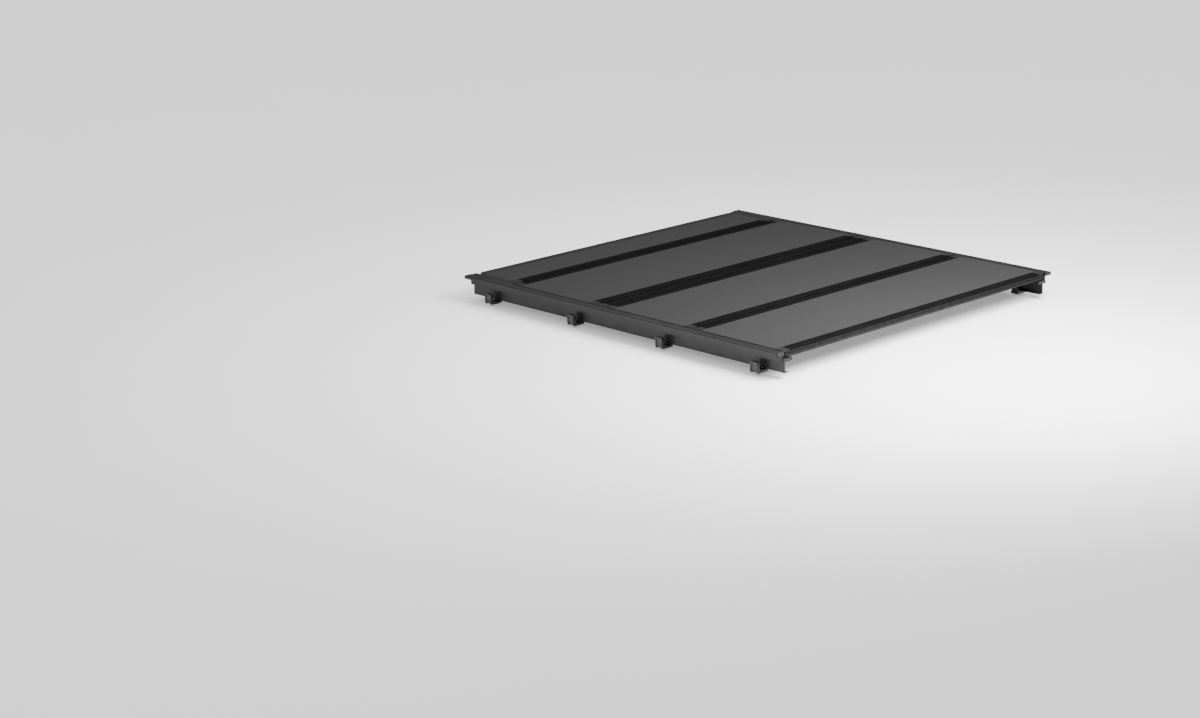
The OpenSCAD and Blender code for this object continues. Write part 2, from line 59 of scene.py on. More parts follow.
# ------------------------------------------------------------------ materials
class Shader:
    """Builds one node material, with sockets named as in Blender's interface."""

    def __init__(self, name, color, rough, metal=0.0, spec=0.5):
        self.mat = bpy.data.materials.new(name)
        self.mat.use_nodes = True
        self.tree = self.mat.node_tree
        self.bsdf = self.tree.nodes["Principled BSDF"]
        self.coords = self.add("ShaderNodeTexCoord")
        self.set(self.bsdf, "Base Color", (*color, 1.0))
        self.set(self.bsdf, "Roughness", rough)
        self.set(self.bsdf, "Metallic", metal)
        self.set(self.bsdf, "Specular IOR Level", spec)
        self.normal = None

    def add(self, kind, **values):
        node = self.tree.nodes.new(kind)
        for key, value in values.items():
            setattr(node, key, value)
        return node

    @staticmethod
    def set(node, socket, value):
        node.inputs[socket].default_value = value

    def link(self, a, out, b, socket):
        self.tree.links.new(a.outputs[out], b.inputs[socket])

    def place(self, scale):
        """Object coordinates stretched by scale, for grain that runs one way."""
        mapping = self.add("ShaderNodeMapping")
        self.set(mapping, "Scale", scale)
        self.link(self.coords, "Object", mapping, "Vector")
        return mapping

    def noise(self, scale, detail=3.0, stretch=(1.0, 1.0, 1.0)):
        node = self.add("ShaderNodeTexNoise")
        self.set(node, "Scale", scale)
        self.set(node, "Detail", detail)
        self.link(self.place(stretch), "Vector", node, "Vector")
        return node

    def cells(self, scale, feature="F1"):
        node = self.add("ShaderNodeTexVoronoi")
        node.feature = feature
        self.set(node, "Scale", scale)
        self.link(self.place((1.0, 1.0, 1.0)), "Vector", node, "Vector")
        return node

    def ramp(self, source, out, low, high, a=0.3, b=0.7):
        """Grey values from low to high as source goes from a to b."""
        node = self.add("ShaderNodeMapRange")
        self.set(node, "From Min", a)
        self.set(node, "From Max", b)
        self.set(node, "To Min", low)
        self.set(node, "To Max", high)
        self.link(source, out, node, "Value")
        return node

    def tint(self, source, out, dark, light, a=0.3, b=0.7):
        node = self.add("ShaderNodeValToRGB")
        node.color_ramp.elements[0].position = a
        node.color_ramp.elements[0].color = (*dark, 1.0)
        node.color_ramp.elements[1].position = b
        node.color_ramp.elements[1].color = (*light, 1.0)
        self.link(source, out, node, "Fac")
        self.link(node, "Color", self.bsdf, "Base Color")
        return node

    def roughness(self, source, out, low, high):
        self.link(self.ramp(source, out, low, high), "Result", self.bsdf, "Roughness")

    def bump(self, source, out, depth, strength=1.0):
        node = self.add("ShaderNodeBump")
        self.set(node, "Strength", strength)
        self.set(node, "Distance", depth)
        self.link(source, out, node, "Height")
        if self.normal is not None:
            self.link(self.normal, "Normal", node, "Normal")
        self.link(node, "Normal", self.bsdf, "Normal")
        self.normal = node


def make_materials():
    made = {}
    s = Shader("skin_powder_coat", (0.03, 0.03, 0.0303), 0.55, spec=0.08)
    grain = s.cells(430.0, "SMOOTH_F1")
    s.tint(grain, "Distance", (0.0345, 0.0345, 0.0348), (0.0245, 0.0245, 0.0248), 0.05, 0.75)
    s.roughness(s.noise(9.0, 5.0), "Fac", 0.50, 0.60)
    s.bump(grain, "Distance", 0.0007, 0.8)
    s.bump(s.noise(1500.0, 2.0), "Fac", 0.0001, 0.5)
    made["textured_skin"] = s.mat
    s = Shader("frame_powder_coat", (0.004, 0.004, 0.0042), 0.5, spec=0.02)
    s.tint(s.noise(7.0, 4.0), "Fac", (0.0035, 0.0035, 0.0036), (0.005, 0.005, 0.0051))
    s.roughness(s.noise(14.0, 5.0), "Fac", 0.46, 0.56)
    s.bump(s.noise(900.0, 2.0), "Fac", 0.00005, 0.5)
    made["black_frame"] = s.mat
    s = Shader("rail_powder_coat", (0.013, 0.013, 0.0133), 0.42, spec=0.3)
    s.tint(s.noise(7.0, 4.0), "Fac", (0.009, 0.009, 0.0092), (0.0125, 0.0125, 0.0128))
    s.roughness(s.noise(14.0, 5.0), "Fac", 0.36, 0.46)
    s.bump(s.noise(70.0, 3.0, (0.04, 1.0, 1.0)), "Fac", 0.00012, 0.35)
    s.bump(s.noise(900.0, 2.0), "Fac", 0.00005, 0.5)
    made["rail"] = s.mat
    s = Shader("moulded_nylon", (0.011, 0.011, 0.0112), 0.55, spec=0.2)
    s.tint(s.noise(20.0, 4.0), "Fac", (0.0095, 0.0095, 0.0097), (0.0135, 0.0135, 0.0137))
    s.roughness(s.noise(35.0, 4.0), "Fac", 0.48, 0.62)
    s.bump(s.cells(900.0), "Distance", 0.00015, 0.7)
    made["black_plastic"] = s.mat
    s = Shader("weather_rubber", (0.007, 0.007, 0.007), 0.72, spec=0.14)
    s.tint(s.noise(30.0, 4.0), "Fac", (0.005, 0.005, 0.005), (0.010, 0.010, 0.010))
    s.roughness(s.noise(40.0, 4.0), "Fac", 0.64, 0.80)
    s.bump(s.noise(500.0, 3.0), "Fac", 0.00008, 0.6)
    made["rubber"] = s.mat
    s = Shader("stamped_steel", (0.42, 0.43, 0.44), 0.38, metal=1.0)
    s.tint(s.noise(45.0, 5.0), "Fac", (0.34, 0.35, 0.36), (0.50, 0.51, 0.52))
    s.roughness(s.noise(60.0, 4.0), "Fac", 0.30, 0.46)
    s.bump(s.noise(600.0, 3.0, (1.0, 0.08, 1.0)), "Fac", 0.00004, 0.6)
    made["steel"] = s.mat
    s = Shader("zinc_plate", (0.62, 0.60, 0.53), 0.28, metal=1.0)
    s.tint(s.cells(160.0), "Distance", (0.50, 0.49, 0.43), (0.70, 0.68, 0.62), 0.1, 0.8)
    s.roughness(s.noise(90.0, 4.0), "Fac", 0.22, 0.36)
    s.bump(s.noise(400.0, 3.0), "Fac", 0.00003, 0.6)
    made["zinc_steel"] = s.mat
    s = Shader("black_oxide", (0.07, 0.07, 0.072), 0.36, metal=1.0)
    s.tint(s.noise(120.0, 4.0), "Fac", (0.045, 0.045, 0.047), (0.10, 0.10, 0.102))
    s.roughness(s.noise(160.0, 4.0), "Fac", 0.30, 0.46)
    s.bump(s.noise(700.0, 3.0), "Fac", 0.00003, 0.6)
    made["black_oxide"] = s.mat
    s = Shader("cast_clamp_coat", (0.02, 0.02, 0.021), 0.5, spec=0.5)
    s.tint(s.noise(30.0, 4.0), "Fac", (0.016, 0.016, 0.017), (0.03, 0.03, 0.031))
    s.roughness(s.noise(60.0, 4.0), "Fac", 0.42, 0.6)
    s.bump(s.noise(260.0, 4.0), "Fac", 0.00025, 0.7)
    made["cast_clamp"] = s.mat
    s = Shader("rigid_foam", (0.70, 0.72, 0.74), 0.9, spec=0.2)
    s.tint(s.cells(260.0), "Distance", (0.60, 0.62, 0.64), (0.78, 0.80, 0.82), 0.1, 0.7)
    s.bump(s.cells(420.0), "Distance", 0.0006, 0.8)
    made["foam"] = s.mat
    s = Shader("wire_strand", (0.45, 0.46, 0.47), 0.33, metal=1.0)
    strand_bump_and_groove_shade = s.add("ShaderNodeTexWave", wave_type="BANDS", bands_direction="DIAGONAL")
    s.set(strand_bump_and_groove_shade, "Scale", 260.0)
    s.link(s.place((1.0, 1.0, 1.0)), "Vector", strand_bump_and_groove_shade, "Vector")
    # Base colour is darkest where the bump is lowest, in the grooves between the strands: painted
    # shade in the grooves.
    s.tint(strand_bump_and_groove_shade, "Fac", (0.16, 0.16, 0.17), (0.55, 0.56, 0.57), 0.2, 0.7)
    s.bump(strand_bump_and_groove_shade, "Fac", 0.0003, 0.8)
    made["cable"] = s.mat
    return made


MATS = make_materials()


# ------------------------------------------------------------------ mesh tools
def dress(obj, material, body, sharp=35.0):
    """Gives a new piece its material and slot, and makes it ride on a body."""
    obj.data.materials.clear()
    obj.data.materials.append(MATS[material])
    shade(obj.data, sharp)
    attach(obj, body)
    return obj


def shade(mesh, sharp):
    """Smooth shading with edges over the sharp angle kept crisp."""
    bm = bmesh.new()
    bm.from_mesh(mesh)
    limit = math.radians(sharp)
    for f in bm.faces:
        f.smooth = True
    for e in bm.edges:
        e.smooth = len(e.link_faces) == 2 and e.calc_face_angle(0.0) < limit
    bm.to_mesh(mesh)
    bm.free()


def round_edges(obj, width, segments=2, angle=40.0):
    """Bevels the edges sharper than an angle."""
    mod = obj.modifiers.new("edge", "BEVEL")
    mod.width = width
    mod.segments = segments
    mod.limit_method = "ANGLE"
    mod.angle_limit = math.radians(angle)
    mod.harden_normals = True
    return mod


def object_from(bm, name):
    """Turns a bmesh into an object in the scene."""
    bmesh.ops.recalc_face_normals(bm, faces=bm.faces)
    mesh = bpy.data.meshes.new(name)
    bm.to_mesh(mesh)
    bm.free()
    obj = bpy.data.objects.new(name, mesh)
    bpy.context.scene.collection.objects.link(obj)
    return obj


def at_axis(axis, u, v, w):
    """Point with cross-section coordinates u, v and place w along the axis."""
    return {"x": (w, u, v), "y": (u, w, v), "z": (u, v, w)}[axis]


def add_bar(bm, loop, axis, a, b, inner=None):
    """Extrudes a closed outline from a to b; inner is a hole with as many points."""
    rings = []
    for w in (a, b):
        rings.append([bm.verts.new(at_axis(axis, u, v, w)) for u, v in loop])
    n = len(loop)
    for i in range(n):
        j = (i + 1) % n
        bm.faces.new((rings[0][i], rings[0][j], rings[1][j], rings[1][i]))
    if inner is None:
        bm.faces.new(rings[0][::-1])
        bm.faces.new(rings[1])
        return
    holes = []
    for w in (a, b):
        holes.append([bm.verts.new(at_axis(axis, u, v, w)) for u, v in inner])
    for i in range(n):
        j = (i + 1) % n
        bm.faces.new((holes[0][j], holes[0][i], holes[1][i], holes[1][j]))
        for ring, hole in zip(rings, holes):
            bm.faces.new((ring[i], ring[j], hole[j], hole[i]))


def add_lathe(bm, profile, centre, axis="z", n=32, spin=None, hollow=False):
    """Revolves (radius, height) pairs about an axis; spin(radius, angle, k) may change a radius.
    A hollow one joins its last ring to its first, so its bore stays open."""
    rings = []
    for k, (r, h) in enumerate(profile):
        ring = []
        for i in range(n):
            t = 2 * math.pi * i / n
            q = spin(r, t, k) if spin else r
            u, v = q * math.cos(t), q * math.sin(t)
            p = Vector(at_axis(axis, u, v, h)) + Vector(centre)
            ring.append(bm.verts.new(p))
        rings.append(ring)
    if hollow:
        rings.append(rings[0])
    for lower, upper in zip(rings, rings[1:]):
        for i in range(n):
            j = (i + 1) % n
            bm.faces.new((lower[i], lower[j], upper[j], upper[i]))
    if not hollow:
        bm.faces.new(rings[0][::-1])
        bm.faces.new(rings[-1])


def add_tube(bm, points, radius, n=10):
    """Sweeps a circle along a path, without twist."""
    points = [Vector(p) for p in points]
    side = None
    rings = []
    for i, p in enumerate(points):
        ahead = points[min(i + 1, len(points) - 1)] - points[max(i - 1, 0)]
        ahead.normalize()
        if side is None:
            side = ahead.orthogonal().normalized()
        side = (side - ahead * side.dot(ahead)).normalized()
        other = ahead.cross(side)
        rings.append([bm.verts.new(p + radius * (side * math.cos(2 * math.pi * k / n)
                                                 + other * math.sin(2 * math.pi * k / n)))
                      for k in range(n)])
    for lower, upper in zip(rings, rings[1:]):
        for k in range(n):
            m = (k + 1) % n
            bm.faces.new((lower[k], lower[m], upper[m], upper[k]))
    bm.faces.new(rings[0][::-1])
    bm.faces.new(rings[-1])


def arc(cu, cv, r, start, stop, n):
    """Points on an arc, angles in degrees."""
    return [(cu + r * math.cos(math.radians(start + (stop - start) * i / (n - 1))),
             cv + r * math.sin(math.radians(start + (stop - start) * i / (n - 1))))
            for i in range(n)]


def hexagon(flat_r, corner_r):
    """spin function of a hexagon of that flat radius, its corners turned down to corner_r."""
    def spin(r, t, k):
        a = (t + math.pi / 6) % (math.pi / 3) - math.pi / 6
        return min(flat_r / math.cos(a) * r, corner_r)
    return spin


def centre(node):
    """Middle of a node's box."""
    lo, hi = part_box(node)
    return [(a + b) / 2 for a, b in zip(lo, hi)]


# ------------------------------------------------------------------ CAD nodes
FINISH = {"top_skin": ("textured_skin", 0.25), "bottom_skin": ("textured_skin", 0.2),
          "core": ("foam", 0.0), "front_rail": ("black_frame", 0.6),
          "rear_rail": ("black_frame", 0.6), "side_frames": ("rail", 0.0),
          "corner_caps": ("black_plastic", 1.2)}
OTHERS = {"rail_left": ("rail", 0.5), "rail_right": ("rail", 0.5),
          "rail_end_caps": ("black_plastic", 1.0), "rail_brackets": ("steel", 0.5),
          "spacer_bar": ("black_frame", 0.6), "spacer_end_caps": ("black_plastic", 1.2),
          "prop_rod_left": ("zinc_steel", 0.4), "prop_rod_right": ("zinc_steel", 0.4),
          "prop_rod_brackets": ("steel", 0.4), "prop_rod_clips": ("black_plastic", 0.5),
          "latch_housings": ("black_plastic", 1.0), "latch_bolt_left": ("zinc_steel", 0.5),
          "latch_bolt_right": ("zinc_steel", 0.5), "cable_guides": ("black_plastic", 0.7),
          "cab_hinge_pin": ("black_oxide", 0.3), "front_hinge_pin": ("black_oxide", 0.3),
          "middle_hinge_pins": ("black_oxide", 0.3)}


def dress_node(name, material, edge):
    """Gives a CAD node its finish, and rounds its edges by edge millimetres."""
    obj = NODES[name]
    obj.data.materials.clear()
    obj.data.materials.append(MATS[material])
    if edge:
        weld = obj.modifiers.new("weld", "WELD")
        weld.merge_threshold = 1e-6
        round_edges(obj, edge * MM, 2)


for panel in PANELS:
    for part, (material, edge) in FINISH.items():
        dress_node(f"{panel}_panel_{part}", material, edge)
for node, (material, edge) in OTHERS.items():
    dress_node(node, material, edge)
dress_node("cab_panel_front_rail", "rail", 0.6)

# ------------------------------------------------------------------ places
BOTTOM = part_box("front_panel_bottom_skin")[0][2]
REAR_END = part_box("rear_panel_corner_caps")[1][0]
AXIS_Z = centre("cab_hinge_pin")[2]
BOLT_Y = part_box("drain_nipples")[1][1] - 9.5 * MM
STUD_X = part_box("hold_down_knob_right")[1][0] - 16 * MM
STUD_Y = centre("hold_down_knob_right")[1]
ROD_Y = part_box("prop_rod_right")[0][1] + 4 * MM
ROD_Z = centre("prop_rod_right")[2]
LATCH_X, _, LATCH_Z = centre("latch_springs")
CLAMPS = 4
CAP_SCREW = 3.2 * MM
BRACKET_SCREW = 2.4 * MM
END_SCREW = 2.2 * MM
SIDES = (("left", -1), ("right", 1))


def clamp_places():
    """Places of the clamps along the rails."""
    lo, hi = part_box("clamp_upper_jaws")
    first, last = lo[0] + 16 * MM, hi[0] - 16 * MM
    return [first + (last - first) * i / (CLAMPS - 1) for i in range(CLAMPS)]


# ------------------------------------------------------------------ seals
def make_rail_seals():
    """Bulb seals on the support flanges, under the panels' edges."""
    lo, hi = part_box("rail_seals")
    mid = hi[1] - 5 * MM
    bm = bmesh.new()
    for side in (-1, 1):
        foot = [(side * (mid - 4.8 * MM), lo[2]), (side * (mid + 4.8 * MM), lo[2]),
                (side * (mid + 4.8 * MM), lo[2] + 0.9 * MM),
                (side * (mid + 2.0 * MM), lo[2] + 1.2 * MM)]
        bulb = arc(side * mid, hi[2] - 1.75 * MM, 1.72 * MM, -20, 200, 15)
        if side < 0:
            bulb = bulb[::-1]
        end = [(side * (mid - 2.0 * MM), lo[2] + 1.2 * MM),
               (side * (mid - 4.8 * MM), lo[2] + 0.9 * MM)]
        add_bar(bm, foot + bulb + end, "x", lo[0], hi[0])
    obj = dress(object_from(bm, "rail_bulb_seals"), "rubber", "mount")
    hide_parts("rail_seals")


def make_bulkhead_seal():
    """Strip on the cab edge: a flat back, two lips and a bulb."""
    lo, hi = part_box("bulkhead_seal")
    x = hi[0]
    z = lo[2] + 5 * MM
    outer = [(x, lo[2] + 1 * MM)] + arc(x - 5 * MM, z, 5 * MM, -70, -290, 25)
    outer += [(x - 3.2 * MM, z + 7 * MM), (x - 7.6 * MM, hi[2] - 5.2 * MM),
              (x - 8.2 * MM, hi[2] - 4.2 * MM), (x - 3.0 * MM, hi[2] - 2.5 * MM),
              (x - 2.4 * MM, hi[2]), (x, hi[2])]
    bm = bmesh.new()
    add_bar(bm, outer, "y", lo[1], hi[1])
    obj = dress(object_from(bm, "bulkhead_bulb_seal"), "rubber", "mount")
    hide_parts("bulkhead_seal")


def make_tailgate_seal():
    """Bulb and wiper lip along the rear edge, with a flat back."""
    lo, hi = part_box("tailgate_seal")
    x = REAR_END
    z = hi[2] - 14 * MM
    outer = [(x, hi[2])]
    outer += [(x + 4.6 * MM, hi[2] - 0.4 * MM), (x + 5.0 * MM, hi[2] - 1.4 * MM),
              (x + 4.4 * MM, hi[2] - 2.6 * MM), (x + 2.2 * MM, hi[2] - 3.4 * MM),
              (x + 2.0 * MM, z + 4.4 * MM)]
    outer += arc(x + 4 * MM, z, 3.95 * MM, 100, -110, 25)
    outer += [(x + 0.4 * MM, z - 6 * MM), (x, z - 6 * MM)]
    bm = bmesh.new()
    add_bar(bm, outer, "y", lo[1], hi[1])
    obj = dress(object_from(bm, "tailgate_bulb_seal"), "rubber", "rear_panel")
    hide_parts("tailgate_seal")


def add_hinge_seal(bm, fixed, free, z0, half):
    """Flexible web below a hinge, from its fixed foot to a bulb at the free side."""
    s = 1 if free > fixed else -1
    reach = abs(free - fixed)
    outer = [(fixed, z0), (fixed, z0 + 12 * MM), (fixed + s * 2.2 * MM, z0 + 11.4 * MM),
             (fixed + s * 3 * MM, z0 + 6 * MM)]
    for k in range(1, 6):
        u = 3 * MM + (reach - 6.6 * MM) * k / 5
        outer.append((fixed + s * u, z0 + 5.6 * MM + (0.5 * MM if k % 2 else -0.2 * MM)))
    bulb = arc(0, 0, 2.95 * MM, 140, -140, 21)
    outer += [(fixed + s * (reach - 3 * MM + u), z0 + 5 * MM + v) for u, v in bulb]
    for k in range(5, 0, -1):
        u = 3 * MM + (reach - 6.6 * MM) * k / 5
        outer.append((fixed + s * u, z0 + 3.2 * MM + (0.4 * MM if k % 2 else -0.3 * MM)))
    outer += [(fixed + s * 3 * MM, z0 + 1.2 * MM), (fixed + s * 2.4 * MM, z0)]
    add_bar(bm, outer, "y", -half, half)


def make_hinge_seals():
    """The rubber webs below the hinges, each on the body of its fixed side."""
    for node, body in (("cab_hinge_seal", "mount"), ("front_hinge_seal", "front_panel")):
        lo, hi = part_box(node)
        bm = bmesh.new()
        add_hinge_seal(bm, lo[0], hi[0], lo[2], hi[1])
        obj = dress(object_from(bm, node.replace("seal", "web")), "rubber", body)
        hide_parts(node)
    lo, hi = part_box("middle_hinge_seals")
    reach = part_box("cab_hinge_seal")[1][0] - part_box("cab_hinge_seal")[0][0]
    bm = bmesh.new()
    add_hinge_seal(bm, lo[0] + reach, lo[0], lo[2], hi[1])
    add_hinge_seal(bm, hi[0] - reach, hi[0], lo[2], hi[1])
    obj = dress(object_from(bm, "middle_hinge_webs"), "rubber", "middle_panel")
    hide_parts("middle_hinge_seals")


def make_skin_gaskets():
    """Thin rubber bead where each skin tucks into the bars at its two cross edges."""
    for panel in PANELS:
        lo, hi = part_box(f"{panel}_panel_top_skin")
        bm = bmesh.new()
        for x in (lo[0], hi[0]):
            bead = [(x - 1.0 * MM, hi[2] - 0.4 * MM)]
            bead += arc(x, hi[2] - 0.1 * MM, 0.75 * MM, 170, 10, 9)
            bead += [(x + 1.0 * MM, hi[2] - 0.4 * MM)]
            add_bar(bm, bead, "y", lo[1] + 1 * MM, hi[1] - 1 * MM)
        dress(object_from(bm, f"{panel}_skin_beads"), "rubber", BODY_OF_PANEL[panel])


make_rail_seals()
make_bulkhead_seal()
make_tailgate_seal()
make_hinge_seals()
make_skin_gaskets()


# ------------------------------------------------------------------ fasteners
def thread(r, z0, z1, pitch=1.25):
    """Profile of a thread from z0 to z1, in millimetres."""
    out = []
    z = z0
    while z + pitch <= z1:
        out += [(r - 0.62, z), (r, z + pitch * 0.45), (r, z + pitch * 0.55)]
        z += pitch
    return out + [(r - 0.62, z1)]


def scaled(profile):
    return [(r * MM, h * MM) for r, h in profile]


def make_rail_fasteners():
    """Hex bolts with washers in the clamps, and threaded studs below the cab panel."""
    head = [(0.90, 0.0), (0.97, 0.35), (1.0, 0.9), (1.0, 5.5)]
    corners = [6.9 * MM, 7.3 * MM, 7.5 * MM, 7.5 * MM]
    hexes = [hexagon(6.5 * MM, corner) for corner in corners]
    washer = [(4.3, 5.5), (9.4, 5.5), (9.9, 5.75), (9.9, 6.75), (9.5, 7.0), (4.3, 7.0)]
    shank = [(3.9, 6.9), (3.9, 17.0)] + thread(4.0, 17.0, 40.2) + [(3.1, 41.0)]
    stud = [(3.2, 54.0)] + thread(4.0, 54.6, 80.0) + [(3.9, 82.0)]
    bm = bmesh.new()
    for side in (-1, 1):
        for x in clamp_places():
            at = (x, side * BOLT_Y, 0.0)
            add_lathe(bm, [(r, h * MM) for r, h in head], at, "z", 48,
                      lambda r, t, k: hexes[k](r, t, k))
            add_lathe(bm, scaled(washer), at, "z", 40, hollow=True)
            add_lathe(bm, scaled(shank), at, "z", 28)
        add_lathe(bm, scaled(stud), (STUD_X, side * STUD_Y, 0.0), "z", 28)
    obj = dress(object_from(bm, "clamp_bolts_and_studs"), "zinc_steel", "mount", sharp=28)
    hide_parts("rail_fasteners")


def outward(side, points):
    """Cross-section points in millimetres, (distance from the middle, height), on one side."""
    turned = [(side * v * MM, z * MM) for v, z in points]
    return turned if side > 0 else turned[::-1]


def jaw_teeth(v_out, z_root, z_tip):
    """Three saw teeth, from the outer face inward."""
    out = []
    for k in range(3):
        v = v_out - 6 * k
        out += [(v, z_root), (v - 0.3, z_tip), (v - 2.6, z_tip - 0.6), (v - 4.0, z_root)]
    return out


def make_lower_jaws():
    """Cast C-shaped jaws: two side flanges, a sunk web between them, teeth and a gusset."""
    lo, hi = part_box("clamp_lower_jaws")
    v_in, v_out = BOLT_Y / MM - 12, hi[1] / MM
    z0, z1 = lo[2] / MM, hi[2] / MM
    floor, sunk = z0 + 10, 2.4
    inner = [(v_out - 16, floor + 7)] + arc(v_out - 23, floor + 7, 7, -8, -82, 7)
    inner += [(v_in + 7, floor), (v_in + 6.8, floor + 6.8), (v_in + 4.2, floor + 6.8),
              (v_in + 4, floor), (v_in + 2, floor), (v_in, floor - 2), (v_in, z0 + 2),
              (v_in + 2, z0)]
    corner = arc(v_out - 10, z0 + 10, 10, -90, 0, 9)
    dip = arc(v_out - 10, z0 + 10, 10 - sunk, -90, 0, 9)
    teeth = jaw_teeth(v_out, z1 - 3, z1)
    flange = corner + teeth + inner
    web = [(BOLT_Y / MM + 13, z0), (BOLT_Y / MM + 13 + sunk, z0 + sunk)] + dip
    web += [(v_out - sunk, z1 - 8), (v_out, z1 - 8 + sunk)] + teeth + inner
    gusset = [(v_out - 30, floor - 1), (v_out - 26, floor + 3), (v_out - 20, floor + 10),
              (v_out - 17, floor + 17), (v_out - 15.5, floor + 18), (v_out - 15.5, floor - 1)]
    bm = bmesh.new()
    for x in clamp_places():
        for side in (-1, 1):
            for a, b in ((-18, -12.5), (12.5, 18)):
                add_bar(bm, outward(side, flange), "x", x + a * MM, x + b * MM)
            add_bar(bm, outward(side, web), "x", x - 12.5 * MM, x + 12.5 * MM)
            add_bar(bm, outward(side, gusset), "x", x - 3 * MM, x + 3 * MM)
    obj = dress(object_from(bm, "cast_lower_jaws"), "cast_clamp", "mount", sharp=32)
    round_edges(obj, 0.5 * MM, 2, 50)
    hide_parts("clamp_lower_jaws")


def make_upper_jaws():
    """Threaded plates above the rail's ledge: a chamfered block with a raised round boss."""
    lo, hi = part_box("clamp_upper_jaws")
    v0, v1 = BOLT_Y / MM - 10, hi[1] / MM
    z0, z1 = lo[2] / MM, hi[2] / MM
    block = [(v0, z0), (v1, z0), (v1, z1 - 4.5), (v1 - 1.5, z1 - 3), (v0 + 1.5, z1 - 3),
             (v0, z1 - 4.5)]
    boss = [(4.1, z1 - 3.5), (8.6, z1 - 3.5), (8.4, z1 - 0.5), (7.9, z1), (4.6, z1),
            (4.1, z1 - 0.6)]
    bm = bmesh.new()
    for x in clamp_places():
        for side in (-1, 1):
            add_bar(bm, outward(side, block), "x", x - 16 * MM, x + 16 * MM)
            add_lathe(bm, scaled(boss), (x, side * BOLT_Y, 0.0), "z", 36, hollow=True)
    obj = dress(object_from(bm, "cast_upper_jaws"), "cast_clamp", "mount", sharp=32)
    round_edges(obj, 0.5 * MM, 2, 50)
    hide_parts("clamp_upper_jaws")


def add_screw(bm, at, axis, out, r):
    """Low button head with a six-lobe recess, its head standing out along the axis."""
    rim = 5

    def lobes(q, t, k):
        return q * (1 + 0.14 * math.cos(6 * t)) if k >= rim else q

    profile = [(r, 0.0), (r, 0.25 * r), (0.93 * r, 0.42 * r), (0.74 * r, 0.58 * r),
               (0.52 * r, 0.64 * r), (0.40 * r, 0.64 * r), (0.36 * r, 0.30 * r),
               (0.05 * r, 0.26 * r)]
    add_lathe(bm, [(q, h * out) for q, h in profile], at, axis, 24, lobes)


def make_screws():
    """Screws in the corner caps, rail ends, rod brackets and latch housings."""
    for panel in PANELS:
        lo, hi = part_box(f"{panel}_panel_corner_caps")
        bm = bmesh.new()
        for x in (lo[0] + 19 * MM, hi[0] - 19 * MM):
            for y in (lo[1] + 12 * MM, lo[1] + 26 * MM, hi[1] - 12 * MM, hi[1] - 26 * MM):
                add_screw(bm, (x, y, lo[2]), "z", -1, CAP_SCREW)
        if panel == "front":
            a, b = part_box("prop_rod_brackets")
            for x in (a[0] + 4 * MM, b[0] - 4 * MM):
                for s in (-1, 1):
                    at = (x, s * (ROD_Y - 12 * MM), BOTTOM - 2 * MM)
                    add_screw(bm, at, "z", -1, BRACKET_SCREW)
        if panel == "rear":
            a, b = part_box("latch_housings")
            for x in (a[0] + 4 * MM, b[0] - 4 * MM):
                for s in (-1, 1):
                    for y in (b[1] - 58 * MM, b[1] - 8 * MM):
                        at = (x, s * y, BOTTOM - 2 * MM)
                        add_screw(bm, at, "z", -1, BRACKET_SCREW)
        dress(object_from(bm, f"{panel}_panel_screws"), "black_oxide", BODY_OF_PANEL[panel],
              sharp=30)
    lo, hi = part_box("rail_end_caps")
    bm = bmesh.new()
    for s in (-1, 1):
        for x, out in ((lo[0], -1), (hi[0], 1)):
            for y, z in ((hi[1] - 10.5 * MM, hi[2] - 8 * MM), (hi[1] - 23 * MM, hi[2] - 6.5 * MM),
                         (hi[1] - 56 * MM, lo[2] + 6.5 * MM)):
                add_screw(bm, (x, s * y, z), "x", out * 0.6, END_SCREW)
    dress(object_from(bm, "rail_end_screws"), "black_oxide", "mount", sharp=30)


def make_pin_heads():
    """Peened heads on the ends of the hinge pins."""
    for node, body in (("cab_hinge_pin", "mount"), ("front_hinge_pin", "front_panel"),
                       ("middle_hinge_pins", "middle_panel")):
        lo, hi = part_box(node)
        xs = {round(lo[0] + 2.5 * MM, 6), round(hi[0] - 2.5 * MM, 6)}
        bm = bmesh.new()
        for x in sorted(xs):
            for y, out in ((lo[1], -1), (hi[1], 1)):
                cap = [(2.2, -0.4), (2.2, 0.1), (3.3, 0.15), (3.5, 0.6), (2.9, 1.2), (1.4, 1.6),
                       (0.2, 1.7)]
                add_lathe(bm, [(r * MM, out * h * MM) for r, h in cap], (x, y, AXIS_Z), "y", 24)
        dress(object_from(bm, f"{node}_heads"), "black_oxide", body, sharp=40)


make_rail_fasteners()
make_lower_jaws()
make_upper_jaws()
make_screws()
make_pin_heads()


# ------------------------------------------------------------------ latches and knobs
def make_springs():
    """Closed-end compression springs around the tail rods of the bolts."""
    turns, per = 8, 24
    inner = 672.2 * MM
    start, length = inner + 0.6 * MM, 20.6 * MM
    for name, s in SIDES:
        pts = []
        for i in range(turns * per + 1):
            f = i / (turns * per)
            t = 2 * math.pi * turns * f
            ease = min(1.0, max(0.0, (f - 0.08) / 0.84))
            pts.append((LATCH_X + 3.85 * MM * math.cos(t), s * (start + length * ease),
                        LATCH_Z + 3.85 * MM * math.sin(t)))
        bm = bmesh.new()
        add_tube(bm, pts, 0.55 * MM, 8)
        obj = dress(object_from(bm, f"latch_spring_{name}"), "zinc_steel", "rear_panel")
        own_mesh(obj)
        if s > 0:
            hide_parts("latch_springs")


